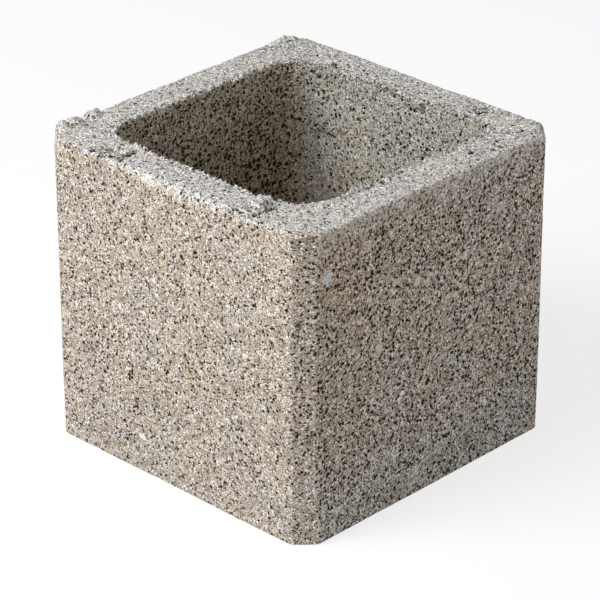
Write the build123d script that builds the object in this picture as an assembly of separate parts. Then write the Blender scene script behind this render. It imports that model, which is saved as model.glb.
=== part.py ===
from build123d import *

import os
from math import atan2, degrees

# A hollow square pier block, cast in one piece from dry concrete. Sizes are in millimetres.
# It stands on its bed, with the origin in the middle of the bed and +Z up the core.

# Outside of the casting
WIDTH = 250.0  # across the faces, along X
DEPTH = 250.0  # across the faces, along Y
HEIGHT = 230.0  # from bed to rim
CORNER_FLAT = 13.0  # leg of the flat that takes off each upright corner

# Walls and core: the core widens upwards, so that its former lifts out of the fresh casting
WALL_AT_RIM = 30.0
WALL_AT_BED = 33.0
CORE_CORNER_RADIUS = 25.0  # upright corners of the core, at the rim

# Rounding where the tamped rim meets the faces and the core
RIM_ROUND = 2.5
MOUTH_ROUND = 3.0
LARGEST_ROUND = WALL_AT_RIM / 3  # the two roundings leave a flat rim between them


def casting_blank() -> Part:
    """The outside of the block: its plan, with the corners taken off, carried up from the bed."""
    plan = Rectangle(WIDTH, DEPTH)
    plan = chamfer(plan.vertices(), CORNER_FLAT)
    return extrude(plan, HEIGHT)


def core_former() -> Part:
    """The space inside the walls, which tapers evenly from the rim down to the bed."""
    mouth = RectangleRounded(WIDTH - 2 * WALL_AT_RIM, DEPTH - 2 * WALL_AT_RIM, CORE_CORNER_RADIUS)
    draft = degrees(atan2(WALL_AT_BED - WALL_AT_RIM, HEIGHT))
    at_rim = Plane.XY.offset(HEIGHT)
    return extrude(at_rim * mouth, HEIGHT, dir=-at_rim.z_dir, taper=draft)


def rim_face(casting: Part) -> Face:
    """The flat bed on top, which the next block is laid on."""
    return casting.faces().sort_by(Axis.Z)[-1]


def pier_block() -> Part:
    """The whole block, with both edges of its rim rounded and the edges of its bed left sharp."""
    casting = casting_blank() - core_former()
    outer_edges = rim_face(casting).outer_wire().edges()
    casting = fillet(outer_edges, min(RIM_ROUND, LARGEST_ROUND))
    mouth_edges = rim_face(casting).inner_wires()[0].edges()
    return fillet(mouth_edges, min(MOUTH_ROUND, LARGEST_ROUND))


os.makedirs("parts", exist_ok=True)
export_step(pier_block(), "parts/block.step")
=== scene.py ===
"""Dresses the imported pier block: one worn, open-textured concrete casting in soft studio light.

Shapes are worked out in millimetres and go into the meshes in metres.
"""

import logging
from dataclasses import dataclass, field
from enum import Enum
from itertools import product

import bmesh
import bpy
import numpy as np
from mathutils import Matrix, Vector


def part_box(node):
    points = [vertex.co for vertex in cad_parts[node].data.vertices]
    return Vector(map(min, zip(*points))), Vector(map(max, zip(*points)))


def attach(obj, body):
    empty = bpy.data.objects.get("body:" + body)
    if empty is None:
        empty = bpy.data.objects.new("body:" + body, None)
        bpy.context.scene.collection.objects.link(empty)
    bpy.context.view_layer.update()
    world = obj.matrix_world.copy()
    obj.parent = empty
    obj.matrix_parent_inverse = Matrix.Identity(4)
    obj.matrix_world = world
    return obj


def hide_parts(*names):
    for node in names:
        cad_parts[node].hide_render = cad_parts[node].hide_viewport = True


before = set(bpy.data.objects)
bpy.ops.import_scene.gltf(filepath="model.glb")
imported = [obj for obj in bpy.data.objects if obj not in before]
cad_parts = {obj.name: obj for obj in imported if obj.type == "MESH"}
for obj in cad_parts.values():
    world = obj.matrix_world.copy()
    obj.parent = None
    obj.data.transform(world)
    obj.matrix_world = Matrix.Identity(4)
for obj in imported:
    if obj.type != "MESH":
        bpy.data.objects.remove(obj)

Array = np.ndarray
Colour = tuple[float, float, float]
Stop = tuple[float, Colour]
Socket = bpy.types.NodeSocket

MM = 0.001
QUARTER_TURN = np.pi / 2
DIAGONAL = 0.7071  # both parts of a level direction that looks out of a corner
SKIN_SHARES = ("tamped", "core", "hollow", "porous", "paste", "stain")
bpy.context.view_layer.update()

logging.basicConfig(level=logging.INFO, format="%(name)s: %(message)s")
log = logging.getLogger("pier_block")


def add_object(name: str, data: bpy.types.ID) -> bpy.types.Object:
    """Puts new data into the scene, as an object at the origin.

    Args:
        name: the object's name.
        data: its mesh, lamp or camera.

    Returns:
        The object.
    """
    made = bpy.data.objects.new(name, data)
    bpy.context.scene.collection.objects.link(made)
    return made


def add_piece(name: str, mesh: bpy.types.Mesh, material: bpy.types.Material) -> bpy.types.Object:
    """Dresses a mesh and makes it a piece of the block, which has one body.

    Args:
        name: the piece's name.
        mesh: its shape.
        material: the finish that it wears.

    Returns:
        The piece.
    """
    mesh.materials.append(material)
    piece = add_object(name, mesh)
    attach(piece, "root")
    log.info("%s: %d faces", name, len(mesh.polygons))
    return piece


def set_shares(mesh: bpy.types.Mesh, shares: dict[str, Array]) -> None:
    """Writes numbers onto the points of a mesh, for its finish to read.

    Args:
        mesh: the mesh.
        shares: each attribute's name, with one number for every point.
    """
    for name, values in shares.items():
        layer = mesh.attributes.new(name, "FLOAT", "POINT")
        layer.data.foreach_set("value", values.ravel().astype(np.float32))


def smooth_step(low: float, high: float, value: Array) -> Array:
    """A soft switch: 0 below low, 1 above high and a cubic between them.

    Args:
        low: where the switch starts.
        high: where it ends, which may be under low for a falling switch.
        value: the numbers to switch on.

    Returns:
        Numbers from 0 to 1, in the shape of value.
    """
    t = np.clip((value - low) / (high - low), 0.0, 1.0)
    return t * t * (3.0 - 2.0 * t)


class Grit:
    """Repeatable noise in space, so that relief runs on round corners without a seam."""

    TABLE = 1 << 16
    PRIMES = np.array([73856093, 19349663, 83492791])

    def __init__(self, seed: int) -> None:
        """Draws the table of random numbers that every lattice point looks up."""
        self.table = np.random.default_rng(seed).random((self.TABLE, 4))

    def at(self, cells: Array) -> Array:
        """Four random numbers from 0 to 1 for each lattice cell."""
        mixed = np.bitwise_xor.reduce(cells * self.PRIMES, axis=-1)
        return self.table[mixed % self.TABLE]

    def waves(self, points: Array, cell: float, shift: float = 0.0) -> Array:
        """Smooth noise: random values on a cubic lattice, blended by a cubic between its corners.

        Args:
            points: places in millimetres, (..., 3).
            cell: the lattice pitch in millimetres.
            shift: how far the places are moved first, so that one layer of noise differs from another.

        Returns:
            Noise from -1 to 1, in the shape of points without its last axis.
        """
        scaled = (points + shift) / cell
        base = np.floor(scaled)
        part = scaled - base
        blend = part * part * (3.0 - 2.0 * part)
        base = base.astype(np.int64)
        total = np.zeros(points.shape[:-1])
        for corner in product((0, 1), repeat=3):
            share = np.where(corner, blend, 1.0 - blend).prod(axis=-1)
            total += share * self.at(base + np.array(corner))[..., 0]
        return 2.0 * total - 1.0

    def grains(self, points: Array, cell: float) -> tuple[Array, Array]:
        """Cellular noise: the distance to the nearest of many scattered grains, one to a lattice cell.

        Args:
            points: places in millimetres, (..., 3).
            cell: the mean pitch of the grains in millimetres.

        Returns:
            The distance in pitches, and the random number of the grain that is nearest.
        """
        base = np.floor(points / cell).astype(np.int64)
        nearest = np.full(points.shape[:-1], np.inf)
        number = np.zeros(points.shape[:-1])
        for step in product((-1, 0, 1), repeat=3):
            there = base + np.array(step)
            drawn = self.at(there)
            away = np.linalg.norm(points / cell - there - drawn[..., :3], axis=-1)
            closer = away < nearest
            nearest = np.where(closer, away, nearest)
            number = np.where(closer, drawn[..., 3], number)
        return nearest, number


@dataclass
class Ring:
    """Stations round the block in plan, counter-clockwise from the left end of the -Y face."""

    outer: Array
    outer_normal: Array
    core_rim: Array
    core_bed: Array
    core_normal: Array

    def thinned(self) -> "Ring":
        """Every second station, for the parts of the casting that need fewer."""
        return Ring(*(value[::2] for value in vars(self).values()))


@dataclass
class BlockPlan:
    """The block from above: a square with its corners taken off, round a core with round corners."""

    width: float
    depth: float
    corner_flat: float = 13.0
    wall_at_rim: float = 30.0
    wall_at_bed: float = 33.0
    core_radii: tuple[float, ...] = (38.0, 14.0, 27.0, 21.0)
    along_side: int = 110
    along_corner: int = 20
    edge_softening: int = 3

    def outer_path(self) -> tuple[Array, Array]:
        """The outside: straight runs between the ends of the flats, with each edge a little rubbed.

        Returns:
            Points and outward normals, (stations, 2) each. Three-point averaging rounds the edges.
        """
        x, y, cut = self.width / 2, self.depth / 2, self.corner_flat
        ends = np.array([
            (cut - x, -y), (x - cut, -y), (x, cut - y), (x, y - cut),
            (x - cut, y), (cut - x, y), (-x, y - cut), (-x, cut - y),
        ])
        runs = np.roll(ends, -1, axis=0) - ends
        facing = np.stack([runs[:, 1], -runs[:, 0]], axis=-1)
        facing /= np.linalg.norm(facing, axis=-1, keepdims=True)
        counts = [self.along_side, self.along_corner] * 4
        points = np.concatenate([
            start + run * np.arange(n)[:, None] / n for start, run, n in zip(ends, runs, counts)
        ])
        normals = np.repeat(facing, counts, axis=0)
        for _ in range(self.edge_softening):
            points = (np.roll(points, 1, 0) + 2 * points + np.roll(points, -1, 0)) / 4
            normals = (np.roll(normals, 1, 0) + 2 * normals + np.roll(normals, -1, 0)) / 4
        return points, normals / np.linalg.norm(normals, axis=-1, keepdims=True)

    def core_path(self, wall: float) -> tuple[Array, Array]:
        """The core at one height: four straight runs joined by quarter circles.

        The former was worn unevenly, so each corner has a radius of its own, counter-clockwise from the
        +X -Y corner. Downwards the radii shrink with the core.

        Args:
            wall: wall thickness at that height.

        Returns:
            Points and normals that point into the core, (stations, 2) each.
        """
        radii = np.array(self.core_radii) - (wall - self.wall_at_rim)
        half = np.array([self.width / 2 - wall, self.depth / 2 - wall]) - radii[:, None]
        centres = half * np.array([(1, -1), (1, 1), (-1, 1), (-1, -1)])
        points, normals = [], []
        for side in range(4):
            straight = np.arange(self.along_side)[:, None] / self.along_side
            turn = np.arange(self.along_corner) / self.along_corner
            angle = QUARTER_TURN * (side - 1 + turn)
            spoke = np.stack([np.cos(angle), np.sin(angle)], axis=-1)
            face = np.repeat(spoke[:1], self.along_side, axis=0)
            before = centres[side - 1] + radii[side - 1] * face
            after = centres[side] + radii[side] * face
            points += [before + (after - before) * straight, centres[side] + radii[side] * spoke]
            normals += [-face, -spoke]
        return np.concatenate(points), np.concatenate(normals)

    def ring(self) -> Ring:
        """All stations, outside and core, matched side to side and corner to corner.

        Returns:
            The stations, with the core's at the rim and at the bed.
        """
        outer, outer_normal = self.outer_path()
        core_rim, core_normal = self.core_path(self.wall_at_rim)
        core_bed, _ = self.core_path(self.wall_at_bed)
        return Ring(outer, outer_normal, core_rim, core_bed, core_normal)


class Damage(Enum):
    """What handling and demoulding left on the rim."""

    CRUMB = "a lump of mix that stuck to the rim"
    BREAK = "a patch where grains have broken out"
    PIT = "a single hole"


@dataclass(frozen=True)
class Mark:
    """One spot of damage on the rim, placed in plan, with its radius and height in millimetres."""

    kind: Damage
    x: float
    y: float
    radius: float
    height: float

    def nearness(self, points: Array) -> Array:
        """A dome over the spot: 1 at its middle, falling as a circle does to 0 at its radius."""
        away = np.hypot(points[..., 0] - self.x, points[..., 1] - self.y) / self.radius
        return np.sqrt(np.clip(1.0 - away * away, 0.0, 1.0))


# Spots on the rim: x, y, radius and height of each, as a Mark takes them
CRUMBS = (
    (-122.5, -110.0, 8.0, 4.0), (-121.0, -100.5, 7.5, 4.2), (-120.5, -82.0, 6.8, 4.4),
    (-122.5, 107.0, 13.0, 2.6), (66.0, -100.0, 7.0, 4.6), (67.5, -107.5, 6.0, 4.6),
    (60.0, -104.0, 6.5, 2.6), (99.0, -15.0, 6.0, 2.0), (104.0, 58.0, 8.0, 1.4),
)
BREAKS = (
    (-64.0, -114.0, 16.0, 1.7), (-57.0, -104.0, 8.0, 1.0), (66.0, -113.0, 13.0, 1.8),
    (-62.0, 97.0, 10.0, 2.0), (68.0, 110.0, 13.0, 1.3), (106.0, 96.0, 16.0, 1.4),
)
PITS = (
    (-69.8, -116.8, 2.0, 3.2), (-69.0, -122.5, 1.9, 3.2), (-77.0, -121.0, 1.9, 3.2),
    (-50.8, -119.0, 2.0, 3.2), (-65.0, -106.0, 1.9, 3.2), (58.0, -119.6, 2.0, 3.2),
    (-64.0, 102.5, 2.0, 3.2), (-60.0, 100.0, 2.0, 3.2), (59.2, 121.5, 1.7, 3.2), (109.8, 78.6, 1.9, 3.2),
    (117.6, 67.0, 1.7, 3.2), (117.7, 74.0, 1.7, 3.2), (96.5, -2.5, 1.7, 3.2), (94.5, 4.0, 1.7, 3.2),
    (110.2, 51.5, 1.7, 3.2), (97.0, -31.1, 1.7, 3.2), (98.8, -23.5, 1.7, 3.2), (100.2, -17.5, 1.7, 3.2),
    (99.1, -13.0, 1.7, 3.2), (-62.1, -118.5, 1.7, 3.2), (-54.5, -109.5, 1.7, 3.0),
    (-113.8, -103.3, 1.7, 3.2), (-110.6, -95.5, 1.7, 3.2), (-93.2, -104.7, 1.7, 3.2),
    (-96.3, -85.3, 1.7, 3.2), (-93.7, -93.4, 1.7, 3.2), (73.4, -117.2, 2.4, 3.4),
    (74.6, -112.6, 2.0, 3.0), (75.2, -107.6, 1.9, 3.0), (75.4, -102.6, 1.8, 2.8), (68.4, 106.2, 2.0, 3.4),
    (67.6, 110.2, 2.0, 3.4), (71.4, 112.4, 1.8, 3.2), (65.3, 97.4, 1.8, 3.2), (97.5, 122.5, 2.4, 3.2),
    (106.5, 95.4, 2.2, 3.6), (108.0, 98.6, 1.8, 3.4), (110.0, 101.8, 1.8, 3.4), (109.7, 106.2, 1.7, 3.0),
)
RIM_MARKS = tuple(
    Mark(kind, *spot)
    for kind, spots in ((Damage.CRUMB, CRUMBS), (Damage.BREAK, BREAKS), (Damage.PIT, PITS))
    for spot in spots
)


@dataclass(frozen=True)
class Wear:
    """How far one side's top edge is worn, as a bump of extra rounding along that side."""

    side: tuple[float, float]
    middle: float
    half_length: float
    extra: float

    def along(self, ring: Ring) -> Array:
        """Extra rounding at each station: a smooth hump along this side and nothing on the others.

        Args:
            ring: the stations.

        Returns:
            Millimetres to add to the radius, (stations,).
        """
        facing = smooth_step(0.8, 1.0, ring.outer_normal @ np.array(self.side))
        place = ring.outer @ np.array([-self.side[1], self.side[0]])
        hump = np.exp(-(((place - self.middle) / self.half_length) ** 4))
        return self.extra * facing * hump


EDGE_WEAR = (
    Wear((0.0, -1.0), 12.0, 66.0, 4.6),
    Wear((1.0, 0.0), 0.0, 110.0, -1.7),
    Wear((0.0, 1.0), 0.0, 118.0, 1.6),
    Wear((0.0, 1.0), 98.0, 16.0, 1.6),
    Wear((-1.0, 0.0), 74.0, 16.0, 2.6),
    Wear((DIAGONAL, DIAGONAL), 0.0, 14.0, 2.6),
    Wear((-DIAGONAL, -DIAGONAL), 0.0, 14.0, 3.4),
    Wear((DIAGONAL, -DIAGONAL), 0.0, 14.0, 0.5),
)


@dataclass(frozen=True)
class Patch:
    """An oval spot on a face, in millimetres, where paste filled the pores or a grain fell out."""

    middle: tuple[float, float, float]
    half_sizes: tuple[float, float, float]

    def nearness(self, points: Array) -> Array:
        """1 at the middle, 0 at the oval's edge and negative outside: one less the scaled distance."""
        away = (points - np.array(self.middle)) / np.array(self.half_sizes)
        return 1.0 - np.linalg.norm(away, axis=-1)


SMEARS = (
    Patch((-18.0, -125.0, 225.5), (12.0, 8.0, 4.0)),
    Patch((4.0, -125.0, 226.0), (6.0, 6.0, 2.4)),
    Patch((125.0, -19.0, 13.0), (5.0, 9.0, 8.0)),
)
FACE_HOLES = (
    Patch((125.0, -91.7, 11.2), (2.8, 2.8, 2.8)),
    Patch((125.0, -31.2, 174.6), (2.4, 2.4, 2.4)),
    Patch((-47.1, -125.0, 206.8), (2.2, 2.2, 3.0)),
    Patch((-58.9, -125.0, 190.0), (2.3, 2.3, 2.3)),
    Patch((-1.6, -125.0, 208.1), (2.1, 2.1, 2.6)),
    Patch((-37.4, -125.0, 48.7), (3.2, 2.2, 2.2)),
)


@dataclass
class Casting:
    """The whole block as one closed skin: the wall's section carried round the plan."""

    plan: BlockPlan
    height: float
    # Rounding of the edges
    rim_round: float = 2.5
    mouth_round: float = 2.2
    bed_round: float = 0.9
    # Rows of the mesh
    face_rows: int = 112
    arc_rows: int = 8
    rim_rows: int = 22
    upper_core_rows: int = 7
    upper_core_depth: float = 14.0
    lower_core_rows: int = 44
    bed_arc_rows: int = 3
    bed_rows: int = 5
    # How far the rim's skin reaches over an edge, or stops short of it
    right_skin: float = 2.4
    back_loss: float = 4.0
    front_loss: float = 4.0
    # What the former, the mix and the mould left
    lip_height: float = 1.3
    lip_inset: float = 29.6
    groove_inset: float = 26.0
    grain_pitch: float = 3.4
    hole_depth: float = 5.0
    sway_height: float = 0.25
    sway_length: float = 60.0
    stain_middle: tuple[float, float, float] = (125.0, -92.0, 200.0)
    stain_radius: float = 50.0
    grit: Grit = field(default_factory=lambda: Grit(7))

    def edge_radius(self, ring: Ring) -> Array:
        """Rounding of the top outer edge at each station, uneven and worn where it was knocked.

        Args:
            ring: the stations.

        Returns:
            Radii in millimetres, (stations,).
        """
        place = np.column_stack([ring.outer, np.zeros(len(ring.outer))])
        uneven = 0.5 * self.grit.waves(place, 22.0) + 0.35 * self.grit.waves(place, 7.0, shift=300.0)
        worn = sum(wear.along(ring) for wear in EDGE_WEAR)
        return np.clip((self.rim_round + worn) * (1.0 + 0.5 * uneven), 0.8, 9.0)

    def mouth_radius(self, ring: Ring) -> Array:
        """Rounding of the core's mouth at each station, uneven by two sizes of waves.

        Args:
            ring: the stations.

        Returns:
            Radii in millimetres, (stations,).
        """
        place = np.column_stack([ring.core_rim, np.zeros(len(ring.core_rim))])
        broad = self.grit.waves(place, 16.0, shift=90.0)
        short = self.grit.waves(place, 5.0, shift=60.0)
        return self.mouth_round * (1.0 + 0.6 * (0.5 * broad + 0.5 * short))

    def mouth_shift(self, ring: Ring) -> Array:
        """How far the mouth's edge stands into the core at each station, broken grain by grain."""
        place = np.column_stack([ring.core_rim, np.full(len(ring.core_rim), self.height)])
        return 2.2 * self.domes(place) + 0.5 * self.grit.waves(place, 1.1, shift=15.0)

    @staticmethod
    def level(plan_points: Array, z: Array) -> Array:
        """Puts plan points at heights: (rows, stations, 2) and matching heights to (rows, stations, 3)."""
        heights = np.broadcast_to(z, plan_points.shape[:-1])
        return np.concatenate([plan_points, heights[..., None]], axis=-1)

    def arc(
        self, corner: Array, out: Array, radius: Array, z: float, turn: Array, up: float
    ) -> tuple[Array, Array]:
        """A rounded edge: a quarter circle of each station's radius, tangent to a wall and a level face.

        Args:
            corner: plan points of the sharp edge.
            out: plan normals of the wall.
            radius: radius at each station.
            z: height of the level face.
            turn: angles of the rows, from 0 at the wall to a quarter turn at the level face.
            up: 1 where the level face looks up, -1 where it looks down.

        Returns:
            Points and normals, (rows, stations, 3) each.
        """
        inward = radius * (1.0 - np.cos(turn)[:, None])
        drop = radius * (1.0 - np.sin(turn)[:, None])
        points = self.level(corner - out * inward[..., None], z - up * drop)
        normal = self.level(out * np.cos(turn)[:, None, None], up * np.sin(turn)[:, None])
        return points, normal

    def bed_edge(self, corner: Array, out: Array, turn: Array) -> tuple[Array, Array]:
        """The rubbed edge where a wall meets the bed: an arc of one small radius."""
        radius = np.full(len(corner), self.bed_round)
        return self.arc(corner, out, radius, 0.0, turn, -1)

    @staticmethod
    def stacked(parts: list[tuple[Array, Array]]) -> tuple[Array, Array]:
        """Joins runs of rows into one grid.

        Args:
            parts: points of each run, (rows, stations, 3), and normals that spread over the run.

        Returns:
            Points and normals, (rows, stations, 3) each.
        """
        points = np.concatenate([run for run, _ in parts])
        normals = np.concatenate([np.broadcast_to(normal, run.shape) for run, normal in parts])
        return points, normals

    @staticmethod
    def between(start: Array, end: Array, rows: int) -> Array:
        """Rows evenly spaced between two rows, without the ends."""
        share = (np.arange(1, rows + 1) / (rows + 1))[:, None, None]
        return start + (end - start) * share

    def outside_and_rim(self, ring: Ring) -> tuple[Array, Array]:
        """The fine part of the skin: bed edge, outer face, top edge, rim, mouth and the top of the core.

        Args:
            ring: the full set of stations.

        Returns:
            Points and normals, (rows, stations, 3) each, from the bed edge up and over into the core.
        """
        up_turn = np.linspace(0.0, QUARTER_TURN, self.arc_rows)
        foot_turn = np.linspace(QUARTER_TURN, 0.0, self.bed_arc_rows)
        foot = self.bed_edge(ring.outer, ring.outer_normal, foot_turn)
        edge = self.arc(ring.outer, ring.outer_normal, self.edge_radius(ring), self.height, up_turn, 1)
        broken = ring.core_rim + ring.core_normal * self.mouth_shift(ring)[:, None]
        mouth = self.arc(broken, ring.core_normal, self.mouth_radius(ring), self.height, up_turn[::-1], 1)
        top = mouth[0][-1]
        below = self.core_row(ring, self.height - self.upper_core_depth)
        core_normal = self.level(ring.core_normal, np.zeros(1))
        parts = [
            foot,
            (self.between(foot[0][-1], edge[0][0], self.face_rows), edge[1][:1]),
            edge,
            (self.between(edge[0][-1], mouth[0][0], self.rim_rows), np.array([0.0, 0.0, 1.0])),
            mouth,
            (self.between(top, below, self.upper_core_rows), core_normal),
        ]
        return self.stacked(parts)

    def core_row(self, ring: Ring, z: float) -> Array:
        """The core's outline at one height, on the even taper from bed to rim."""
        share = z / self.height
        return self.level(ring.core_bed + (ring.core_rim - ring.core_bed) * share, np.full(1, z))

    def core_and_bed(self, ring: Ring) -> tuple[Array, Array]:
        """The coarse part of the skin: the core's wall down to the bed, and the bed out to its edge.

        Args:
            ring: the thinned set of stations.

        Returns:
            Points and normals, (rows, stations, 3) each.
        """
        foot_turn = np.linspace(0.0, QUARTER_TURN, self.bed_arc_rows)
        start = self.core_row(ring, self.height - self.upper_core_depth)
        foot = self.bed_edge(ring.core_bed, ring.core_normal, foot_turn)
        share = np.linspace(0.0, 1.0, self.lower_core_rows)[:, None, None] ** 1.25
        wall = start + (foot[0][0] - start) * share[:-1]
        outer_edge = self.level(ring.outer - ring.outer_normal * self.bed_round, np.zeros(1))
        parts = [
            (wall, self.level(ring.core_normal, np.zeros(1))),
            foot,
            (self.between(foot[0][-1], outer_edge, self.bed_rows), np.array([0.0, 0.0, -1.0])),
        ]
        return self.stacked(parts)

    @staticmethod
    def faces(fine_rows: int, coarse_rows: int, stations: int) -> list[list[int]]:
        """Joins the rows into one closed skin, with a strip of triangles where the stations halve.

        Args:
            fine_rows: rows with all stations.
            coarse_rows: rows with half of them, which close the loop back to the first fine row.
            stations: how many stations a fine row has.

        Returns:
            Vertex numbers of quads and triangles, all facing outwards.
        """
        half = stations // 2
        fine = np.arange(fine_rows * stations).reshape(fine_rows, stations)
        coarse = fine.size + np.arange(coarse_rows * half).reshape(coarse_rows, half)
        quads = []
        for grid in (fine, coarse):
            after = np.roll(grid, -1, axis=1)
            quads.append(np.stack([grid[:-1], after[:-1], after[1:], grid[1:]], axis=-1).reshape(-1, 4))
        even, odd = fine[:, 0::2], fine[:, 1::2]
        turned, turned_coarse = np.roll(even, -1, axis=1), np.roll(coarse, -1, axis=1)
        strips = [
            (even[-1], odd[-1], coarse[0]),
            (odd[-1], turned_coarse[0], coarse[0]),
            (odd[-1], turned[-1], turned_coarse[0]),
            (coarse[-1], turned_coarse[-1], odd[0]),
            (coarse[-1], odd[0], even[0]),
            (turned_coarse[-1], turned[0], odd[0]),
        ]
        triangles = np.concatenate([np.stack(strip, axis=-1) for strip in strips])
        return np.concatenate(quads).tolist() + triangles.tolist()

    def past_mouth(self, fine: Array, ring: Ring) -> Array:
        """Distance past the mouth's edge: the depth in the core, and on the rim less the plan distance.

        Args:
            fine: the fine part of the skin, (rows, stations, 3).
            ring: its stations.

        Returns:
            Millimetres, (rows, stations).
        """
        in_core = np.arange(len(fine))[:, None] >= len(fine) - self.upper_core_rows - self.arc_rows
        inside = -np.linalg.norm(fine[..., :2] - ring.core_rim, axis=-1)
        return np.where(in_core, self.height - fine[..., 2], inside)

    def teeth(self, fine: Array, ring: Ring) -> Array:
        """Grains that stand up or are lost along the mouth's edge: domes and short waves, near it only.

        Args:
            fine: the fine part of the skin, (rows, stations, 3).
            ring: its stations.

        Returns:
            Millimetres along +Z, (rows, stations).
        """
        past = self.past_mouth(fine, ring)
        near = smooth_step(-3.6, -0.8, past) * smooth_step(8.0, 3.0, past)
        kept = 1.0 - 0.65 * smooth_step(0.5, 1.0, -ring.core_normal[:, 1])
        return near * kept * (3.6 * self.domes(fine) + 1.3 * self.grit.waves(fine, 1.1, shift=210.0))

    def tamped_share(self, fine: Array, ring: Ring) -> Array:
        """How much of the rim's grey, close skin shows: 1 on the rim, fading past its two edges.

        The distance past an edge is the depth below the rim on the wall beyond it, and on the rim itself
        less the plan distance to that edge. The skin ends where the distance passes its reach there.

        Args:
            fine: the fine part of the skin, (rows, stations, 3).
            ring: its stations.

        Returns:
            Shares from 0 to 1 with a ragged border, (rows, stations).
        """
        rim_start = len(fine) - self.upper_core_rows - self.arc_rows - self.rim_rows
        on_face = np.arange(len(fine))[:, None] < rim_start
        inside = -np.linalg.norm(fine[..., :2] - ring.outer, axis=-1)
        past_outer = np.where(on_face, self.height - fine[..., 2], inside)
        past_mouth = self.past_mouth(fine, ring)
        right = smooth_step(0.8, 1.0, ring.outer_normal[:, 0])
        back = smooth_step(0.5, 1.0, -ring.core_normal[:, 1])
        left = smooth_step(0.6, 0.9, -ring.outer_normal[:, 1])
        front = smooth_step(0.8, 1.0, (ring.outer_normal[:, 0] - ring.outer_normal[:, 1]) * DIAGONAL)
        worn_reach = self.edge_radius(ring) * (0.8 - 0.3 * left)
        outer_reach = worn_reach + self.right_skin * right - self.front_loss * front
        mouth_reach = self.mouth_radius(ring) * 0.6 - self.back_loss * back
        past = np.maximum(past_outer - outer_reach, past_mouth - mouth_reach)
        ragged = 1.6 * self.grit.waves(fine, 9.0, shift=40.0) + 1.2 * self.grit.waves(fine, 3.0)
        return smooth_step(1.0, -1.0, (past + ragged) / (2.0 + 3.0 * left + right))

    def domes(self, points: Array) -> Array:
        """Grains as domes round scattered points: over zero on a grain, under zero in the gaps."""
        away, number = self.grit.grains(points, self.grain_pitch)
        return (0.55 - away) * (0.6 + 0.8 * number)

    def relief(self, points: Array, tamped: Array) -> Array:
        """Height of the surface over the moulded shape, in millimetres along its normal.

        Grains are domes round scattered points. Against the mould they are pressed flat, so there only
        the gaps between them count; on the rim they stand as they fell. Rare deep pores cut into both.

        Args:
            points: places on the moulded shape.
            tamped: how much of the rim's skin lies there, looking up.

        Returns:
            Heights in the shape of tamped.
        """
        dome = self.domes(points)
        pressed = np.minimum(dome, 0.12) * 0.75
        loose = dome * 0.9
        pores = smooth_step(0.42, 0.8, self.grit.waves(points, 5.5, shift=500.0)) * (0.9 * tamped - 1.4)
        holes = np.max([np.clip(hole.nearness(points), 0.0, 0.6) for hole in FACE_HOLES], axis=0)
        foot = 0.3 + 0.7 * smooth_step(1.0, 9.0, points[..., 2])
        rough = pressed + (loose - pressed) * tamped + pores
        return rough * foot - self.hole_depth * holes + self.sway(points)

    def sway(self, points: Array) -> Array:
        """Long waves of the mould's walls, in millimetres."""
        return self.sway_height * self.grit.waves(points, self.sway_length)

    def lip(self, points: Array) -> Array:
        """A thin raised lip along the mouth on the +X wall with a groove behind it, in millimetres.

        Each is a bell curve over the distance from the outer face; waves along the wall break both up.

        Args:
            points: places on the moulded shape.

        Returns:
            Millimetres along +Z, in the shape of points without its last axis.
        """
        into = self.plan.width / 2 - points[..., 0]
        ridge = np.exp(-(((into - self.lip_inset) / 1.7) ** 2))
        groove = np.exp(-(((into - self.groove_inset) / 1.6) ** 2))
        along = smooth_step(84.0, 70.0, np.abs(points[..., 1]))
        on_top = smooth_step(self.height - 6.0, self.height - 2.0, points[..., 2])
        broken = 0.65 + 0.6 * self.grit.waves(points, 12.0, shift=110.0)
        return self.lip_height * (ridge - 0.6 * groove) * along * on_top * broken

    def marked(self, points: Array) -> Array:
        """Rise or fall of the rim at its marks: rough domes for crumbs, rough hollows for breaks, and pits.

        Args:
            points: places on the moulded shape.

        Returns:
            Millimetres along +Z, in the shape of points without its last axis.
        """
        rough = self.grit.waves(points, 3.2, shift=70.0) + 0.6 * self.grit.waves(points, 1.9, shift=20.0)
        near_top = smooth_step(self.height - 12.0, self.height - 3.0, points[..., 2])
        rise = np.zeros(points.shape[:-1])
        for mark in RIM_MARKS:
            weight = mark.nearness(points) * near_top
            if mark.kind is Damage.CRUMB:
                rise = np.maximum(rise, mark.height * weight * (0.8 + 0.6 * rough))
            elif mark.kind is Damage.BREAK:
                rise = rise + mark.height * weight * (0.75 * rough - 0.5)
            else:
                rise = rise - mark.height * weight
        return rise

    def stain(self, points: Array, right: Array, core: Array) -> Array:
        """How far the mix leans to brown, or below zero to grey.

        Outside, a round brown stain on the right face and a grey foot; in the core, browner and darker with
        depth as painted shade, which also opens more dark pores there.

        Args:
            points: places on the moulded shape.
            right: how much of the right face lies there.
            core: 1 in the core, 0 outside.

        Returns:
            Shifts of hue in the shape of core.
        """
        away = np.linalg.norm(points - np.array(self.stain_middle), axis=-1)
        stained = right * (0.08 + 0.6 * np.exp(-((away / self.stain_radius) ** 2)))
        foot = (0.15 + 0.45 * right) * smooth_step(75.0, 10.0, points[:, 2])
        # Painted shade: browner and darker deeper in the core.
        depth = 0.65 * smooth_step(215.0, 140.0, points[:, 2])
        return np.where(core > 0.5, depth, stained - foot)

    def paste(self, points: Array, right: Array) -> Array:
        """How far paste fills the pores: in the smears, and in a ragged band along the right face's top.

        Args:
            points: places on the moulded shape.
            right: how much of the right face lies there.

        Returns:
            Shares from 0 to 1, in the shape of right.
        """
        near = np.max([smear.nearness(points) for smear in SMEARS], axis=0)
        smeared = smooth_step(-0.1, 0.6, near + 0.7 * self.grit.waves(points, 4.0, shift=130.0))
        ragged = points[:, 2] + 6.0 * self.grit.waves(points, 14.0, shift=160.0)
        return np.maximum(smeared, 0.7 * right * smooth_step(208.0, 228.0, ragged))

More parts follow.
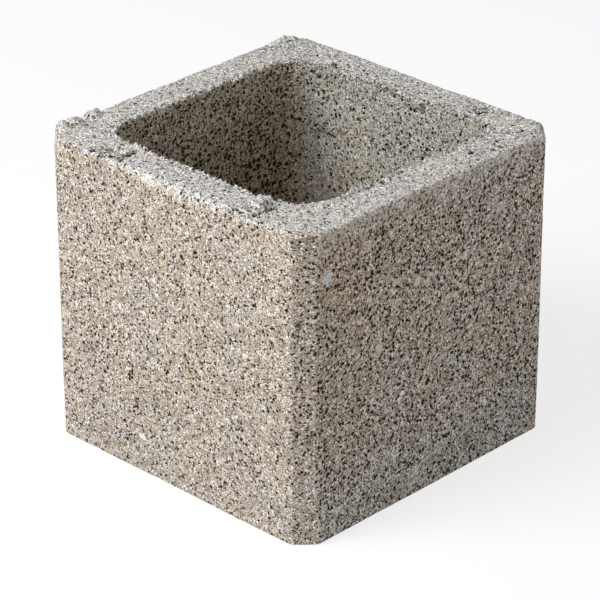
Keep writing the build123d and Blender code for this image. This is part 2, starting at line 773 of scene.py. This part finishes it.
    def mesh(self, name: str) -> bpy.types.Mesh:
        """Works out the skin and writes it into a mesh, with the shares that its finish reads.

        Args:
            name: the mesh's name.

        Returns:
            A closed mesh in metres, with the point attributes of SKIN_SHARES.
        """
        ring = self.plan.ring()
        fine, fine_normals = self.outside_and_rim(ring)
        coarse, coarse_normals = self.core_and_bed(ring.thinned())
        points = np.concatenate([fine.reshape(-1, 3), coarse.reshape(-1, 3)])
        normals = np.concatenate([fine_normals.reshape(-1, 3), coarse_normals.reshape(-1, 3)])
        normals = normals / np.linalg.norm(normals, axis=-1, keepdims=True)

        core = np.zeros(fine.shape[:2])
        core[-self.arc_rows - self.upper_core_rows:] = 1.0
        beyond = coarse.shape[0] * coarse.shape[1]
        core = np.concatenate([core.ravel(), np.ones(beyond)])
        tamped = np.concatenate([self.tamped_share(fine, ring).ravel(), np.zeros(beyond)])

        relief = self.relief(points, tamped * smooth_step(0.2, 0.8, normals[:, 2]))
        rise = self.marked(points) + self.lip(points)
        # Painted shade: hollows of the relief and the rim's pits and breaks are later coloured dark, like
        # pores.
        hollow = smooth_step(-0.5, -2.2, 0.7 * relief + np.minimum(rise, 0.0))
        rise[:fine[..., 0].size] += self.teeth(fine, ring).ravel()
        shaped = points + normals * relief[:, None]
        shaped[:, 2] += rise
        shaped[:, 2] = np.maximum(shaped[:, 2], 0.0)
        right = smooth_step(0.75, 1.0, normals[:, 0]) * (1.0 - core)
        # Painted shade with some real coarseness: faces that look +X, away from the key lamp, get darker,
        # more open gaps and pores.
        porous = smooth_step(0.5, 1.0, normals[:, 0])
        paste, stain = self.paste(points, right), self.stain(points, right, core)

        made = bpy.data.meshes.new(name)
        made.from_pydata(shaped * MM, [], self.faces(len(fine), len(coarse), fine.shape[1]))
        made.shade_smooth()
        set_shares(made, dict(zip(SKIN_SHARES, (tamped, core, hollow, porous, paste, stain))))
        made.validate()
        return made

    def build(self, name: str, finish: "ConcreteFinish") -> bpy.types.Object:
        """Makes the piece that stands for the CAD block and dresses it.

        Args:
            name: the piece's name.
            finish: the concrete that it wears.

        Returns:
            The finished piece, riding on the root body.
        """
        piece = add_piece(name, self.mesh(name), finish.material())
        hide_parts("block")
        return piece


class Shading:
    """Adds shader nodes to one node tree and links them as they are made."""

    def __init__(self, tree: bpy.types.NodeTree) -> None:
        """Starts with an empty tree."""
        self.tree = tree
        tree.nodes.clear()

    def fill(self, socket: Socket, value: object) -> None:
        """Links an output to an input socket, or sets a plain value on it.

        Args:
            socket: the input.
            value: an output socket, or the value.
        """
        if isinstance(value, Socket):
            self.tree.links.new(value, socket)
        else:
            socket.default_value = value

    def add(self, kind: str, inputs: dict | None = None, **settings: object) -> bpy.types.Node:
        """Adds a node, sets its properties and fills its inputs with values or sockets.

        Args:
            kind: the node's type, without its ShaderNode prefix.
            inputs: input name or number to a value or an output socket.
            settings: node properties.

        Returns:
            The node.
        """
        node = self.tree.nodes.new("ShaderNode" + kind)
        for key, value in settings.items():
            setattr(node, key, value)
        for key, value in (inputs or {}).items():
            self.fill(node.inputs[key], value)
        return node

    def millimetres(self) -> Socket:
        """Object coordinates, in millimetres."""
        metres = self.add("TexCoord").outputs["Object"]
        return self.add("VectorMath", {0: metres, "Scale": 1.0 / MM}, operation="SCALE").outputs[0]

    def attribute(self, name: str) -> Socket:
        """A number that the mesh carries at its points."""
        return self.add("Attribute", attribute_name=name).outputs["Fac"]

    def math(self, operation: str, *values: object) -> Socket:
        """One arithmetic step on numbers or sockets."""
        return self.add("Math", dict(enumerate(values)), operation=operation).outputs[0]

    def switch(self, value: Socket, low: float, high: float) -> Socket:
        """A soft switch from 0 at low to 1 at high."""
        inputs = {"Value": value, "From Min": low, "From Max": high}
        return self.add("MapRange", inputs, interpolation_type="SMOOTHSTEP").outputs[0]

    def noise(self, place: Socket, size: float, detail: float) -> Socket:
        """Soft noise about zero.

        Args:
            place: where the surface is, in millimetres.
            size: about how large its lumps are, in millimetres.
            detail: how many finer layers lie on it.

        Returns:
            Numbers from about -0.5 to 0.5.
        """
        inputs = {"Vector": place, "Scale": 1.0 / size, "Detail": detail, "Roughness": 0.6}
        return self.math("SUBTRACT", self.add("TexNoise", inputs).outputs[0], 0.5)

    def bent(self, place: Socket, lumps: float, by: float) -> Socket:
        """Places pushed about by coloured noise, which makes even cells uneven.

        Args:
            place: where the surface is, in millimetres.
            lumps: how many lumps the noise has to a millimetre.
            by: how far it pushes, in millimetres.

        Returns:
            The new places.
        """
        pushed = self.add("TexNoise", {"Vector": place, "Scale": lumps, "Detail": 1.0}).outputs["Color"]
        inputs = {0: pushed, 1: (by, by, by), 2: place}
        return self.add("VectorMath", inputs, operation="MULTIPLY_ADD").outputs[0]

    def cells(self, place: Socket, size: float, feature: str = "F1") -> bpy.types.Node:
        """A Voronoi pattern with cells of about this size in millimetres."""
        return self.add("TexVoronoi", {"Vector": place, "Scale": 1.0 / size}, feature=feature)

    def ramp(self, value: Socket, stops: tuple[Stop, ...]) -> Socket:
        """Colours by a number, linear between the stops.

        Args:
            value: the number, from 0 to 1.
            stops: places and their colours, in rising order.

        Returns:
            The colour.
        """
        node = self.add("ValToRGB", {"Fac": value})
        elements = node.color_ramp.elements
        while len(elements) < len(stops):
            elements.new(1.0)
        for element, (place, colour) in zip(elements, stops):
            element.position = place
            element.color = (*colour, 1.0)
        return node.outputs["Color"]

    def mix(self, share: object, first: object, second: object, blend: str = "MIX") -> Socket:
        """Mixes two colours.

        Args:
            share: how much of the second is in the mix.
            first: a colour or a socket.
            second: a colour or a socket.
            blend: how the second goes over the first.

        Returns:
            The mixed colour.
        """
        node = self.add("Mix", data_type="RGBA", blend_type=blend)
        sockets = [s for s in node.inputs if s.enabled]
        for socket, value in zip(sockets, (share, first, second)):
            self.fill(socket, value)
        return next(s for s in node.outputs if s.enabled)

    def dress(self, colour: Socket, height: Socket, bump: float, roughness: float, specular: float) -> None:
        """Ends the tree in a matt surface.

        Args:
            colour: its colour.
            height: its relief, in millimetres.
            bump: how strongly the relief shows.
            roughness: of its gloss.
            specular: the level of its gloss.
        """
        normal = self.add("Bump", {"Height": height, "Strength": bump, "Distance": MM}).outputs[0]
        inputs = {
            "Base Color": colour,
            "Roughness": roughness,
            "Specular IOR Level": specular,
            "Normal": normal,
        }
        shader = self.add("BsdfPrincipled", inputs)
        self.add("OutputMaterial", {"Surface": shader.outputs[0]})


def new_material(name: str) -> tuple[bpy.types.Material, Shading]:
    """Starts a material.

    Args:
        name: its name.

    Returns:
        The material, and its empty tree to build in.
    """
    made = bpy.data.materials.new(name)
    made.use_nodes = True
    return made, Shading(made.node_tree)


@dataclass(frozen=True)
class Skin:
    """What the concrete reads at a point: the place, two noises, the rim's frayed skin, other shares."""

    place: Socket
    fine: Socket
    broad: Socket
    rim: Socket
    core: Socket
    hollow: Socket
    porous: Socket
    paste: Socket
    stain: Socket


@dataclass(frozen=True)
class ConcreteFinish:
    """Dry-cast concrete: grains in their own tones, gaps that open into pores, both darkened as painted
    shade, a greyer tamped rim.
    """

    name: str = "open_textured_concrete"
    grain: float = 1.75
    sand: float = 1.0
    grain_share: float = 0.6
    gap: float = 0.16
    opening: float = 0.30
    gap_shade_share: float = 0.85
    pore_pitch: float = 4.2
    pore_radius: float = 0.130  # in pitches, and each pore adds up to the spread
    pore_spread: float = 0.16
    face_tones: tuple[Stop, ...] = (
        (0.00, (0.53, 0.475, 0.40)),
        (0.25, (0.69, 0.63, 0.548)),
        (0.50, (0.815, 0.758, 0.677)),
        (0.75, (0.93, 0.873, 0.806)),
        (1.00, (1.00, 0.97, 0.95)),
    )
    rim_tones: tuple[Stop, ...] = (
        (0.00, (0.56, 0.545, 0.515)),
        (0.25, (0.78, 0.76, 0.725)),
        (0.50, (0.895, 0.87, 0.845)),
        (0.75, (0.93, 0.91, 0.90)),
        (1.00, (0.955, 0.935, 0.93)),
    )
    tints: tuple[Stop, ...] = (
        (0.00, (0.92, 0.98, 1.05)),
        (0.14, (0.99, 1.00, 1.015)),
        (0.75, (1.00, 0.985, 0.955)),
        (1.00, (1.01, 0.91, 0.79)),
    )
    core_grey: Colour = (0.74, 0.82, 0.865)
    core_warm: Colour = (0.91, 0.86, 0.785)
    paste_colour: Colour = (0.90, 0.88, 0.84)
    # Painted shade: the dark brown and grey of the gaps and the near black of the pores stand in for the
    # shade inside them.
    gap_shade_colour: Colour = (0.222, 0.148, 0.088)
    rim_gap_shade_colour: Colour = (0.183, 0.165, 0.145)
    pore_shade_colour: Colour = (0.012, 0.008, 0.005)
    roughness: float = 0.95
    specular: float = 0.25
    bump: float = 1.0

    @staticmethod
    def skin(s: Shading) -> Skin:
        """Reads the place and the mesh's shares, and frays the border of the rim's skin by fine noise.

        Args:
            s: the tree to add to.

        Returns:
            The sockets that the rest of the finish is worked out from.
        """
        place = s.millimetres()
        shares = {key: s.attribute(key) for key in SKIN_SHARES}
        fine = s.noise(place, 0.8, 2.0)
        broad = s.noise(place, 45.0, 3.0)
        frayed = s.math("MULTIPLY_ADD", fine, 1.2, shares.pop("tamped"))
        return Skin(place, fine, broad, s.switch(frayed, 0.3, 0.7), **shares)

    def grains(self, s: Shading, place: Socket) -> tuple[Socket, ...]:
        """Grains of two sizes packed together: one whole grain in some cells, sand in the others.

        Args:
            s: the tree to add to.
            place: where the surface is, in millimetres.

        Returns:
            Random tone, random hue, and the distance to the nearest gap in millimetres.
        """
        bent = s.bent(place, 0.5, 1.8)
        draws, gaps = [], []
        for size in (self.grain, self.sand):
            draws.append(s.add("SeparateColor", {0: s.cells(bent, size).outputs["Color"]}).outputs)
            edges = s.cells(bent, size, "DISTANCE_TO_EDGE").outputs["Distance"]
            gaps.append(s.math("MULTIPLY", edges, size))
        whole = s.math("LESS_THAN", draws[0][2], self.grain_share)
        tone, hue = (
            s.math("MULTIPLY_ADD", s.math("SUBTRACT", grain, sand), whole, sand)
            for grain, sand in zip(draws[0][:2], draws[1][:2])
        )
        beyond = s.math("MULTIPLY_ADD", whole, self.grain, gaps[1])
        return tone, hue, s.math("MINIMUM", gaps[0], beyond)

    def grain_colour(self, s: Shading, skin: Skin, tone: Socket, hue: Socket) -> Socket:
        """Colours the grains: a tone of the face or the rim, shaded in the core, times a tint.

        Args:
            s: the tree to add to.
            skin: what the mesh says of the place.
            tone: each grain's random tone.
            hue: each grain's random hue.

        Returns:
            The colour, before gaps and pores.
        """
        tone = s.math("MULTIPLY_ADD", skin.fine, 0.8, tone)
        tone = s.math("MULTIPLY_ADD", skin.broad, 0.25, tone)
        hue = s.math("ADD", s.math("MULTIPLY_ADD", skin.broad, 1.2, hue), skin.stain)
        face = s.ramp(tone, self.face_tones)
        core_tint = s.mix(skin.porous, (*self.core_grey, 1.0), (*self.core_warm, 1.0))
        face = s.mix(skin.core, face, s.mix(1.0, face, core_tint, "MULTIPLY"))
        greyed = s.math("MULTIPLY", skin.rim, s.math("MULTIPLY_ADD", skin.porous, -0.75, 1.0))
        colour = s.mix(greyed, face, s.ramp(tone, self.rim_tones))
        colour = s.mix(1.0, colour, s.ramp(hue, self.tints), "MULTIPLY")
        return s.mix(s.math("MULTIPLY", skin.paste, 0.30), colour, (*self.paste_colour, 1.0))

    @staticmethod
    def opened(s: Shading, skin: Skin) -> Socket:
        """Where gaps between grains open into dark pores: in loose patches of the mix, and as painted shade
        in hollows, on faces that look +X and in the core.

        Args:
            s: the tree to add to.
            skin: what the mesh says of the place.

        Returns:
            Shares from 0 to 1.
        """
        loose = s.math("MULTIPLY_ADD", skin.porous, 0.05, s.noise(skin.place, 1.8, 1.0))
        loose = s.math("MULTIPLY_ADD", skin.rim, -0.01, loose)
        loose = s.math("MULTIPLY_ADD", skin.core, 0.012, loose)
        return s.math("MAXIMUM", s.switch(loose, 0.09, 0.155), s.math("MULTIPLY", skin.hollow, 0.8))

    def pits(self, s: Shading, skin: Skin) -> Socket:
        """Holes painted dark as their shade: the hollows of the mesh, and balls about scattered points, cut
        by the surface.

        The balls have random sizes, larger in loose patches, and larger as painted shade on the right and
        deep in the core.

        Args:
            s: the tree to add to.
            skin: what the mesh says of the place.

        Returns:
            1 in a hole and 0 outside.
        """
        looser = s.math("MULTIPLY_ADD", skin.core, 0.025, s.math("MULTIPLY", skin.rim, -0.03))
        deep = s.math("MULTIPLY", skin.core, s.math("MULTIPLY_ADD", skin.stain, 0.09, 0.02))
        looser = s.math("MULTIPLY_ADD", skin.porous, s.math("ADD", deep, 0.02), looser)
        looser = s.math("MULTIPLY_ADD", s.noise(skin.place, 11.0, 1.0), 0.26, looser)
        balls = s.cells(s.bent(skin.place, 0.7, 1.2), self.pore_pitch)
        drawn = s.add("SeparateColor", {0: balls.outputs["Color"]}).outputs[0]
        radius = s.math("MULTIPLY_ADD", drawn, self.pore_spread, self.pore_radius)
        inside = s.math("SUBTRACT", s.math("ADD", radius, looser), balls.outputs["Distance"])
        hollow = s.switch(s.math("MULTIPLY_ADD", skin.fine, 2.2, skin.hollow), 0.40, 0.72)
        return s.math("MAXIMUM", hollow, s.switch(inside, -0.02, 0.04))

    def material(self) -> bpy.types.Material:
        """Builds the material on Object coordinates, in millimetres.

        Returns:
            A material whose colour and bump come from one set of grains, gaps and pores.
        """
        made, s = new_material(self.name)
        skin = self.skin(s)
        tone, hue, away = self.grains(s, skin.place)
        colour = self.grain_colour(s, skin, tone, hue)

        opened = self.opened(s, skin)
        width = s.math("MULTIPLY_ADD", opened, self.opening, self.gap)
        trowelled = s.math("MULTIPLY", skin.rim, skin.porous)
        clear = s.math("MULTIPLY_ADD", s.math("MAXIMUM", skin.paste, trowelled), -0.45, 1.0)
        line = s.math("MULTIPLY", s.switch(s.math("DIVIDE", away, width), 1.0, 0.5), clear)
        pit = s.math("MULTIPLY", self.pits(s, skin), clear)
        # Painted shade: gaps take a dark brown, on the rim a dark grey, and pores near black, less where
        # paste fills them.
        pore = s.math("MAXIMUM", s.math("MULTIPLY", line, opened), pit)
        grey = s.math("MAXIMUM", skin.rim, s.math("MULTIPLY", skin.core, 0.3))
        gap_shade_colour = s.mix(grey, (*self.gap_shade_colour, 1.0), (*self.rim_gap_shade_colour, 1.0))
        colour = s.mix(s.math("MULTIPLY", line, self.gap_shade_share), colour, gap_shade_colour)
        colour = s.mix(pore, colour, (*self.pore_shade_colour, 1.0))

        height = s.math("MULTIPLY", s.switch(away, 0.0, 0.8), 0.45)
        height = s.math("MULTIPLY_ADD", skin.fine, 0.25, height)
        height = s.math("MULTIPLY_ADD", pore, -0.4, height)
        s.dress(colour, height, self.bump, self.roughness, self.specular)
        return made


class Side(Enum):
    """The four outer faces: the direction that each looks in, and the one that runs along it."""

    NEAR_LEFT = ((0.0, -1.0, 0.0), (1.0, 0.0, 0.0))
    NEAR_RIGHT = ((1.0, 0.0, 0.0), (0.0, 1.0, 0.0))
    FAR_RIGHT = ((0.0, 1.0, 0.0), (-1.0, 0.0, 0.0))
    FAR_LEFT = ((-1.0, 0.0, 0.0), (0.0, -1.0, 0.0))


@dataclass(frozen=True)
class StoneFinish:
    """Chips of quarried stone: pale, grey, tan or rust, each in its own tone, with painted shadow round the
    edge.
    """

    name: str = "quarried_stone"
    tones: tuple[Stop, ...] = (
        (0.00, (0.62, 0.54, 0.45)),
        (0.30, (0.70, 0.63, 0.54)),
        (0.48, (0.60, 0.57, 0.53)),
        (0.60, (0.66, 0.665, 0.67)),
        (0.72, (0.78, 0.76, 0.73)),
        (0.86, (0.93, 0.91, 0.88)),
        (1.00, (0.62, 0.40, 0.24)),
    )
    edge_shadow_colour: Colour = (0.10, 0.08, 0.06)
    roughness: float = 0.8
    specular: float = 0.3
    bump: float = 0.6

    def material(self) -> bpy.types.Material:
        """Builds the material: the stone's own tone, faint mottling and painted shadow at the joint, with
        fine bump.

        Returns:
            A material that reads the point attributes tone and joint.
        """
        made, s = new_material(self.name)
        mottle = s.noise(s.millimetres(), 1.3, 3.0)
        shade = s.math("MULTIPLY_ADD", mottle, 1.7, 0.95)
        grey = s.add("CombineColor", {0: shade, 1: shade, 2: shade}).outputs[0]
        colour = s.mix(1.0, s.ramp(s.attribute("tone"), self.tones), grey, "MULTIPLY")
        # Painted shadow round the stone's edge, broken up by the mottling.
        joint = s.switch(s.math("ADD", s.attribute("joint"), mottle), 0.75, 1.0)
        colour = s.mix(joint, colour, (*self.edge_shadow_colour, 1.0))
        s.dress(colour, mottle, self.bump, self.roughness, self.specular)
        return made


@dataclass(frozen=True)
class Chip:
    """One stone that shows in a face: its place along and up the face, half sizes, turn and tone."""

    side: Side
    along: float
    up: float
    half_long: float
    half_wide: float
    turn: float
    tone: float


SEEN_CHIPS = (
    Chip(Side.NEAR_LEFT, -51.0, 122.0, 3.0, 2.0, 75.0, 0.80),
    Chip(Side.NEAR_LEFT, -30.5, 27.4, 5.6, 2.4, -18.0, 0.76),
    Chip(Side.NEAR_LEFT, -102.0, 179.0, 2.4, 1.8, 50.0, 0.78),
    Chip(Side.NEAR_LEFT, -74.0, 186.0, 2.6, 1.6, 10.0, 0.70),
    Chip(Side.NEAR_LEFT, -13.0, 144.0, 2.2, 1.8, 30.0, 0.75),
    Chip(Side.NEAR_RIGHT, -103.5, 196.5, 5.4, 4.6, 25.0, 0.58),
    Chip(Side.NEAR_RIGHT, -63.0, 167.0, 3.6, 1.3, 80.0, 0.66),
    Chip(Side.NEAR_RIGHT, -38.5, 170.5, 4.0, 2.6, 10.0, 0.52),
    Chip(Side.NEAR_RIGHT, -39.5, 163.5, 2.8, 2.0, 20.0, 0.72),
    Chip(Side.NEAR_RIGHT, -17.0, 163.0, 4.6, 4.0, 60.0, 0.34),
    Chip(Side.NEAR_RIGHT, -7.0, 160.0, 3.2, 2.4, 120.0, 0.34),
    Chip(Side.NEAR_RIGHT, 21.0, 140.0, 3.6, 3.0, 15.0, 0.36),
    Chip(Side.NEAR_RIGHT, 30.0, 166.0, 4.2, 1.8, 60.0, 0.62),
    Chip(Side.NEAR_RIGHT, -54.3, 127.7, 4.2, 3.6, 30.0, 0.26),
    Chip(Side.NEAR_RIGHT, -60.2, 98.1, 4.4, 1.5, 30.0, 0.62),
    Chip(Side.NEAR_RIGHT, -30.6, 84.0, 2.9, 2.5, 20.0, 0.86),
    Chip(Side.NEAR_RIGHT, -33.4, 80.6, 3.6, 1.9, 10.0, 0.78),
    Chip(Side.NEAR_RIGHT, -30.4, 60.9, 2.4, 2.0, 45.0, 0.76),
    Chip(Side.NEAR_RIGHT, 36.8, 63.9, 4.0, 1.5, 175.0, 0.62),
    Chip(Side.NEAR_RIGHT, -10.0, 13.0, 1.8, 1.4, 20.0, 0.98),
    Chip(Side.NEAR_RIGHT, 9.0, 24.0, 3.4, 2.4, 70.0, 0.55),
    Chip(Side.NEAR_RIGHT, -65.0, 205.0, 3.8, 2.6, 60.0, 0.40),
    Chip(Side.NEAR_RIGHT, 75.0, 173.0, 3.0, 1.8, 30.0, 0.66),
)


@dataclass
class Aggregate:
    """The larger stones that the mould pressed flush into the outer faces, joined into one mesh."""

    casting: Casting
    scattered: int = 30
    corners: int = 9
    proud: float = 0.4
    sunk: float = 1.6
    margin: float = 16.0
    seed: int = 23

    def chips(self) -> tuple[Chip, ...]:
        """The stones that are listed and, on every face, others that are scattered at random.

        Returns:
            All stones, the chosen ones first.
        """
        draw = np.random.default_rng(self.seed)
        reach = self.casting.plan.width / 2 - self.margin
        spread = []
        for side in Side:
            for _ in range(self.scattered):
                along = draw.uniform(-reach, reach)
                up = draw.uniform(self.margin, self.casting.height - self.margin)
                long = draw.uniform(1.5, 2.9)
                wide = long * draw.uniform(0.55, 0.95)
                turn = draw.uniform(0.0, 180.0)
                spread.append(Chip(side, along, up, long, wide, turn, draw.uniform(0.0, 0.9)))
        return SEEN_CHIPS + tuple(spread)

    def mesh(self, name: str) -> bpy.types.Mesh:
        """Works out all stones at once.

        Each is an uneven polygon, with corners at random distances round an oval. Four rings carry it
        from a low crown, over a rubbed edge, down into the concrete, and a point closes it at each end.

        Args:
            name: the mesh's name.

        Returns:
            A mesh of closed stones in metres, with point attributes tone and joint.
        """
        chips = self.chips()
        draw = np.random.default_rng(self.seed + 1)
        count, corners = len(chips), self.corners
        angle = 2 * np.pi * (np.arange(corners) + draw.uniform(-0.3, 0.3, (count, corners))) / corners
        away = draw.uniform(0.68, 1.1, (count, corners))
        ring_size = np.array([0.0, 0.55, 0.88, 1.0, 0.8, 0.0])
        ring_rise = np.array([1.0, 0.95, 0.7, 0.0, -1.0, -1.0])
        # joint: 1 on the outer rings, where the finish paints the shadow at the stone's edge.
        ring_joint = np.array([0.0, 0.0, 0.5, 1.0, 1.0, 1.0])
        rise = np.where(ring_rise > 0, ring_rise * self.proud, ring_rise * self.sunk)

        turn = np.radians([chip.turn for chip in chips])[:, None]
        long = np.array([chip.half_long for chip in chips])[:, None] * away * np.cos(angle)
        wide = np.array([chip.half_wide for chip in chips])[:, None] * away * np.sin(angle)
        across = long * np.cos(turn) - wide * np.sin(turn)
        upwards = long * np.sin(turn) + wide * np.cos(turn)
        out = np.array([chip.side.value[0] for chip in chips])
        side = np.array([chip.side.value[1] for chip in chips])
        place = np.array([(chip.along, chip.up) for chip in chips])
        middle = out * self.casting.plan.width / 2 + side * place[:, :1]
        middle[:, 2] = place[:, 1]
        middle += out * self.casting.sway(middle)[:, None]

        spots = ring_size[None, :, None, None] * np.stack([across, upwards], axis=-1)[:, None]
        points = middle[:, None, None] + side[:, None, None] * spots[..., :1]
        points = points + np.array([0.0, 0.0, 1.0]) * spots[..., 1:]
        points = points + out[:, None, None] * rise[None, :, None, None]
        grid = np.arange(count * len(rise) * corners).reshape(count, len(rise), corners)
        after = np.roll(grid, -1, axis=2)
        quads = np.stack([grid[:, 1:], after[:, 1:], after[:, :-1], grid[:, :-1]], axis=-1).reshape(-1, 4)

        made = bpy.data.meshes.new(name)
        made.from_pydata(points.reshape(-1, 3) * MM, [], quads.tolist())
        tone = np.broadcast_to(np.array([chip.tone for chip in chips])[:, None, None], grid.shape)
        joint = np.broadcast_to(ring_joint[None, :, None], grid.shape)
        set_shares(made, {"tone": tone, "joint": joint})
        self.close(made)
        return made

    @staticmethod
    def close(mesh: bpy.types.Mesh) -> None:
        """Merges each stone's top and bottom ring into a point and turns all faces outwards.

        Args:
            mesh: the stones, which are changed in place.
        """
        work = bmesh.new()
        work.from_mesh(mesh)
        bmesh.ops.remove_doubles(work, verts=work.verts, dist=0.01 * MM)
        bmesh.ops.recalc_face_normals(work, faces=work.faces)
        work.to_mesh(mesh)
        work.free()

    def build(self, name: str, finish: StoneFinish) -> bpy.types.Object:
        """Makes the stones, dresses them and lets them ride with the block.

        Args:
            name: the piece's name.
            finish: the stone that they wear.

        Returns:
            The finished piece.
        """
        return add_piece(name, self.mesh(name), finish.material())


@dataclass(frozen=True)
class Viewpoint:
    """The camera: a long lens above one upright corner, in millimetres and degrees."""

    place: tuple[float, float, float] = (1396.84, -1439.46, 1110.67)
    turn: float = 44.1474
    tilt: float = 26.7543
    roll: float = -0.1254
    lens: float = 191.97
    sensor: float = 36.0
    reach: float = 50000.0

    def build(self) -> bpy.types.Object:
        """Adds the camera, looking along its tilt and turn, and makes it the scene's own.

        Returns:
            The camera.
        """
        turn, tilt, roll = np.radians([self.turn, self.tilt, self.roll])
        back = Vector((np.sin(turn) * np.cos(tilt), -np.cos(turn) * np.cos(tilt), np.sin(tilt)))
        level = Vector((np.cos(turn), np.sin(turn), 0.0))
        right = Matrix.Rotation(roll, 3, back) @ level
        up = back.cross(right)
        data = bpy.data.cameras.new("camera")
        data.lens, data.sensor_width = self.lens, self.sensor
        data.clip_end = self.reach * MM
        camera = add_object("camera", data)
        axes = Matrix((right, up, back)).transposed().to_4x4()
        camera.matrix_world = Matrix.Translation(Vector(self.place) * MM) @ axes
        bpy.context.scene.camera = camera
        return camera


@dataclass(frozen=True)
class Softbox:
    """One round lamp: its direction, its distance and size in metres, and its light on the block."""

    name: str
    towards: tuple[float, float, float]
    distance: float
    size: float
    light: float

    def build(self) -> bpy.types.Object:
        """Adds the lamp, aimed at the block, with the power that gives its light at that distance.

        Returns:
            The lamp.
        """
        data = bpy.data.lights.new(self.name, "AREA")
        data.shape = "DISK"
        data.size = self.size
        data.energy = np.pi * self.distance**2 * self.light
        lamp = add_object(self.name, data)
        aim = Vector(self.towards).normalized()
        lamp.location = aim * self.distance
        lamp.rotation_euler = aim.to_track_quat("Z", "Y").to_euler()
        return lamp


@dataclass(frozen=True)
class Studio:
    """A pale floor under a key lamp, a weak fill and an even sky, white to the camera."""

    floor_half: float = 6.0
    floor_bounce: float = 0.45
    floor_shown: float = 0.95
    shadow_share: float = 0.25
    sky: float = 0.33
    lamps: tuple[Softbox, ...] = (
        Softbox("key_lamp", (-0.26, -0.67, 0.697), 2.5, 1.7, 3.52),
        Softbox("fill_lamp", (0.88, 0.36, 0.18), 3.0, 2.0, 0.80),
    )

    @staticmethod
    def seen_directly(s: Shading) -> Socket:
        """1 for rays that show the background itself: from the camera, a gloss or through glass.

        Args:
            s: the tree to add to.

        Returns:
            1 or 0.
        """
        rays = s.add("LightPath").outputs
        gloss = s.math("MAXIMUM", rays["Is Glossy Ray"], rays["Is Transmission Ray"])
        return s.math("MAXIMUM", rays["Is Camera Ray"], gloss)

    def world(self) -> None:
        """An even sky, shown as white."""
        world = bpy.data.worlds.new("sky")
        world.use_nodes = True
        s = Shading(world.node_tree)
        strength = s.math("MULTIPLY_ADD", self.seen_directly(s), 1.0 - self.sky, self.sky)
        background = s.add("Background", {"Color": (1.0, 1.0, 1.0, 1.0), "Strength": strength})
        s.add("OutputWorld", {"Surface": background.outputs[0]})
        bpy.context.scene.world = world

    def floor(self) -> bpy.types.Object:
        """The floor: pale grey to the light, near white with a soft shadow to the camera.

        Returns:
            The floor.
        """
        half = self.floor_half
        mesh = bpy.data.meshes.new("floor")
        corners = [(-half, -half, 0.0), (half, -half, 0.0), (half, half, 0.0), (-half, half, 0.0)]
        mesh.from_pydata(corners, [], [(0, 1, 2, 3)])
        material, s = new_material("pale_floor")
        bounce = s.add("BsdfDiffuse", {"Color": (*[self.floor_bounce] * 3, 1.0)}).outputs[0]
        shown = s.add("BsdfDiffuse", {"Color": (*[self.floor_shown] * 3, 1.0)}).outputs[0]
        white = s.add("Emission", {"Color": (1.0, 1.0, 1.0, 1.0), "Strength": 1.0}).outputs[0]
        shaded = s.add("MixShader", {0: self.shadow_share, 1: white, 2: shown}).outputs[0]
        both = s.add("MixShader", {0: self.seen_directly(s), 1: bounce, 2: shaded})
        s.add("OutputMaterial", {"Surface": both.outputs[0]})
        mesh.materials.append(material)
        floor = add_object("floor", mesh)
        return floor

    def build(self) -> None:
        """Sets up the view's colours, the sky, the floor and the lamps."""
        bpy.context.scene.view_settings.view_transform = "Standard"
        self.world()
        self.floor()
        for lamp in self.lamps:
            lamp.build()


def main() -> None:
    """Builds the studio, the camera, the casting and its stones, in that order."""
    low, high = (np.array(corner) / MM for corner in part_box("block"))
    width, depth, height = high - low
    Studio().build()
    Viewpoint().build()
    casting = Casting(BlockPlan(width, depth), height)
    casting.build("block_casting", ConcreteFinish())
    Aggregate(casting).build("exposed_stones", StoneFinish())


if __name__ == "__main__":
    main()
